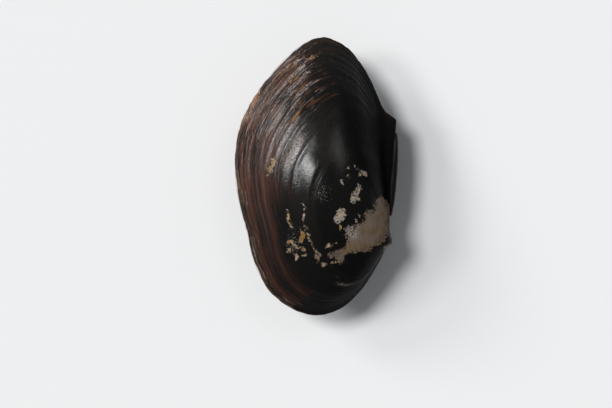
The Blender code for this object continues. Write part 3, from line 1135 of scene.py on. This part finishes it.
def crumbled_with_glints(colour, growth, flaky, place):
    """The colour with painted glints and dark chinks where the coat crumbles, and gaps between the flakes."""
    crumbs = growth_noise(growth, 0.36, 1.5, 4.0, 0.75)
    crumbly = times(ramp(parts(growth)[0], *CRUMBLY_FROM), ramp(flaky, 0.0, 0.8))
    crumbly = times(crumbly, ramp(noise(place, 0.16, 2.0), 0.40, 0.58, 0.15, 0.8))
    # Painted glints: pale colour where the crumbs catch the light.
    colour = mix(times(ramp(crumbs, 0.57, 0.65), crumbly), colour, GLINT)
    colour = mix(times(ramp(crumbs, 0.49, 0.42), crumbly), colour, CHINK)
    gaps = ramp(growth_noise(growth, 0.07, 1.0, 5.0, 0.68), 0.51, 0.42)
    return mix(times(gaps, ramp(flaky, 0.1, 0.6, 0.0, 0.85)), colour, GAP)


def coat_colour(growth, zones, strength, gloss, place):
    """Near-black horn with painted sheen, turning brown towards the belly, with streaks, flakes, scuffs
    partly painted as ridge highlights, and crumbs with painted glints.
    """
    brown, flaky, _ = parts(zones)
    streaks = growth_noise(growth, 0.030, 0.55, 4.0, 0.62)
    fine = growth_noise(growth, 0.05, 2.2, 3.0, 0.6)
    grain = growth_noise(growth, 0.10, 1.1, 5.0, 0.66)
    colour = horn_colour(brown, gloss, streaks, fine, place)
    colour = gilded(colour, growth, brown, flaky, streaks, place)
    colour = flaked(colour, growth, flaky, grain)
    colour = scuffs_and_highlights(colour, growth, strength, grain, place)
    return crumbled_with_glints(colour, growth, flaky, place)


def tan_colour(growth, place, mottle, tint_and_shade):
    """Bare shell of the worn beak: striped tan, whiter, stained and sugary, or duller with partly painted
    shade, by its tint.
    """
    stripes = growth_noise(growth, 0.05, 1.0, 4.0, 0.6)
    tan = mix(ramp(mottle, 0.30, 0.65), PALE_TAN, DARK_TAN)
    tan = mix(ramp(stripes, 0.46, 0.66, 0.0, 0.55), tan, TAN_STRIPE)
    patchy = ramp(noise(place, 0.7, 4.0, 0.6), 0.35, 0.60)
    tan = mix(times(ramp(tint_and_shade, 0.0, 1.0), patchy), tan, WHITE_TAN)
    # Duller where the tint is negative: partly painted shade.
    patchy = ramp(noise(place, 0.9, 4.0, 0.65), 0.38, 0.60, 1.0, 0.35)
    tan = mix(times(ramp(tint_and_shade, 0.0, -1.0), patchy), tan, SHADED_DULL_TAN)
    palest = ramp(tint_and_shade, 0.3, 0.6)
    stained = times(palest, ramp(noise(place, 0.62, 2.0), 0.59, 0.66))
    tan = mix(stained, tan, TAN_STAIN)
    sugary = times(palest, ramp(noise(place, 1.5, 2.0), 0.58, 0.64))
    return mix(sugary, tan, SUGARY_WHITE)


def chalk_colour(growth, place, depth, tone, tint_and_shade):
    """Bare shell: pale, tan, ochre or cream, with a stained rim."""
    mottle = noise(place, 0.22, 4.0, 0.6)
    warmth = ramp(noise(place, 0.42, 3.0, 0.6), 0.42, 0.58)
    blend = ramp(mottle, 0.35, 0.65)
    colour = mix(warmth, WHITE_CHALK, WARM_CHALK)
    colour = mix(ramp(tone, CHALK, TAN), colour, tan_colour(growth, place, mottle, tint_and_shade))
    colour = mix(ramp(tone, TAN, OCHRE), colour, mix(blend, DARK_OCHRE, PALE_OCHRE))
    colour = mix(ramp(tone, OCHRE, CREAM), colour, mix(blend, DARK_CREAM, PALE_CREAM))
    rim = times(ramp(depth, 0.05, 0.5, 0.8, 0.0), ramp(mottle, 0.40, 0.60))
    rim = times(rim, ramp(tone, CHALK, TAN, 0.15, 1.0))
    return mix(rim, colour, WEAR_RIM)


def shell_gloss(growth, flaky, gloss, worn):
    """Strength of the reflection: uneven where the coat is flaky, and low on bare shell."""
    uneven = ramp(growth_noise(growth, 0.05, 1.3, 4.0, 0.65), 0.42, 0.58, -0.7, 0.5)
    uneven = plus(1.0, times(ramp(flaky, 0.0, 0.6), uneven))
    return times(times(gloss, uneven), minus(1.0, times(worn, 0.6)))


def shell_surface(growth, place, ring, flaky, worn):
    """Fine striae, pits, scales and the grain of the worn places."""
    striae = growth_noise(growth, 0.06, 2.2, 4.0, 0.62)
    scales = growth_noise(growth, 0.40, 1.6, 3.0)
    surface = bump(times(striae, ramp(ring, 0.55, 0.80, 0.12, 1.0)), STRIAE_BUMP)
    surface = bump(noise(place, 1.3, 2.0), PIT_BUMP, surface)
    surface = bump(times(scales, flaky), SCALE_BUMP, surface)
    return bump(worn, WEAR_BUMP, surface)


def shell_material():
    made, tree, shader = new_material("periostracum")
    growth, zones, place = attribute(tree, "growth"), attribute(tree, "zones"), place_mm(tree)
    wear, tone, gloss = parts(attribute(tree, "worn"))
    _, flaky, glint_freckled = parts(zones)
    strength, tint_and_shade, ring = parts(attribute(tree, "marks"))
    worn, depth, glint_specks = wear_mask(wear, glint_freckled, place)
    coat = coat_colour(growth, zones, strength, gloss, place)
    chalk = mix(glint_specks, chalk_colour(growth, place, depth, tone, tint_and_shade), GLINT_SPECK)
    feed(shader.inputs["Base Color"], mix(worn, coat, chalk))
    satin = ramp(growth_noise(growth, 0.15, 1.1, 3.0), 0.25, 0.75, 0.15, 0.26)
    feed(shader.inputs["Roughness"], maths("MAXIMUM", satin, times(worn, 0.62)))
    feed(shader.inputs["Specular IOR Level"], shell_gloss(growth, flaky, gloss, worn))
    feed(shader.inputs["Normal"], shell_surface(growth, place, ring, flaky, worn))
    return made


def ligament_material():
    made, tree, shader = new_material("ligament_horn")
    fibres = growth_noise(attribute(tree, "growth"), 0.06, 2.4, 3.0)
    horn = mix(ramp(fibres, 0.3, 0.7), LIGAMENT_BLACK, LIGAMENT_BROWN)
    feed(shader.inputs["Base Color"], horn)
    shader.inputs["Roughness"].default_value = 0.36
    shader.inputs["Specular IOR Level"].default_value = 0.12
    feed(shader.inputs["Normal"], bump(fibres, FIBRE_BUMP))
    return made


def nacre_material():
    made, tree, shader = new_material("nacre")
    bloom = ramp(noise(place_mm(tree), 0.07, 2.0), 0.35, 0.65)
    feed(shader.inputs["Base Color"], mix(bloom, COOL_NACRE, WARM_NACRE))
    shader.inputs["Roughness"].default_value = 0.2
    return made


# Stage


CAMERA_LENS = 85
CAMERA_SENSOR = 36
CAMERA_DISTANCE = 0.729  # metres
CAMERA_TILT = 4  # degrees from straight above, towards the hinge
CAMERA_ROLL = 3.9
CAMERA_AIM = (-42.5, 15.3)  # in the shell frame, in millimetres

# Soft lights: towards the light, how wide it looks in degrees, and its strength.
LIGHTS = {
    "key": ((-0.393, 0.222, 0.892), 18, 1.85),
    "middle": ((-0.739, 0.078, 0.669), 16, 0.80),
    "low": ((-0.765, 0.441, 0.469), 18, 0.82),
    "fill": ((0.400, 0.435, 0.807), 16, 0.10),
}
WORLD_COLOUR = (0.9, 0.95, 1.0, 1)
WORLD_STRENGTH = 0.17
FLOOR_COLOUR = (0.86, 0.86, 0.86, 1)
FLOOR_HALF = 12  # metres


def add_camera():
    data = bpy.data.cameras.new("camera")
    data.lens = CAMERA_LENS
    data.sensor_width = CAMERA_SENSOR
    camera = add_object("camera", data)
    aim = BEAK + Vector((*CAMERA_AIM, 0)) * MM
    tilt = math.radians(CAMERA_TILT)
    back = Vector((math.sin(tilt), 0, math.cos(tilt)))
    up = Vector((0, 1, 0))
    right = up.cross(back).normalized()
    turn = Matrix.Rotation(math.radians(CAMERA_ROLL), 3, back)
    basis = Matrix((turn @ right, turn @ up, back)).transposed()
    camera.matrix_world = Matrix.Translation(aim + back * CAMERA_DISTANCE) @ basis.to_4x4()
    bpy.context.scene.camera = camera


def add_light(name, direction, spread, strength):
    """A broad soft light, far away in this direction."""
    data = bpy.data.lights.new(name, "SUN")
    data.angle = math.radians(spread)
    data.energy = strength
    light = add_object(name, data)
    light.rotation_euler = Vector(direction).to_track_quat("Z", "Y").to_euler()


def add_stage():
    mesh = bpy.data.meshes.new("floor")
    half = FLOOR_HALF
    corners = [(-half, -half, 0), (half, -half, 0), (half, half, 0), (-half, half, 0)]
    mesh.from_pydata(corners, [], [(0, 1, 2, 3)])
    floor = add_object("floor", mesh)
    made, _, shader = new_material("pale_floor")
    shader.inputs["Base Color"].default_value = FLOOR_COLOUR
    shader.inputs["Roughness"].default_value = 0.9
    mesh.materials.append(made)
    world = bpy.data.worlds.new("studio")
    world.use_nodes = True
    background = world.node_tree.nodes["Background"]
    background.inputs["Color"].default_value = WORLD_COLOUR
    background.inputs["Strength"].default_value = WORLD_STRENGTH
    bpy.context.scene.world = world
    for name, light in LIGHTS.items():
        add_light(name, *light)
    bpy.context.scene.view_settings.view_transform = "Standard"


def main():
    finishes = [shell_material(), nacre_material()]
    valves = (
        ("right_valve_shell", 1, RIGHT_PATCH, RIGHT_SPOTS),
        ("left_valve_shell", -1, LEFT_PATCH, LEFT_SPOTS),
    )
    for name, side, patch, spots in valves:
        piece = valve_piece(name, side, patch, spots)
        for finish in finishes:
            piece.data.materials.append(finish)
        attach(piece, "root")
        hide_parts(name[: name.rindex("_")])
    band = ligament_piece()
    band.data.materials.append(ligament_material())
    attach(band, "root")
    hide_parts("ligament")
    add_camera()
    add_stage()


main()
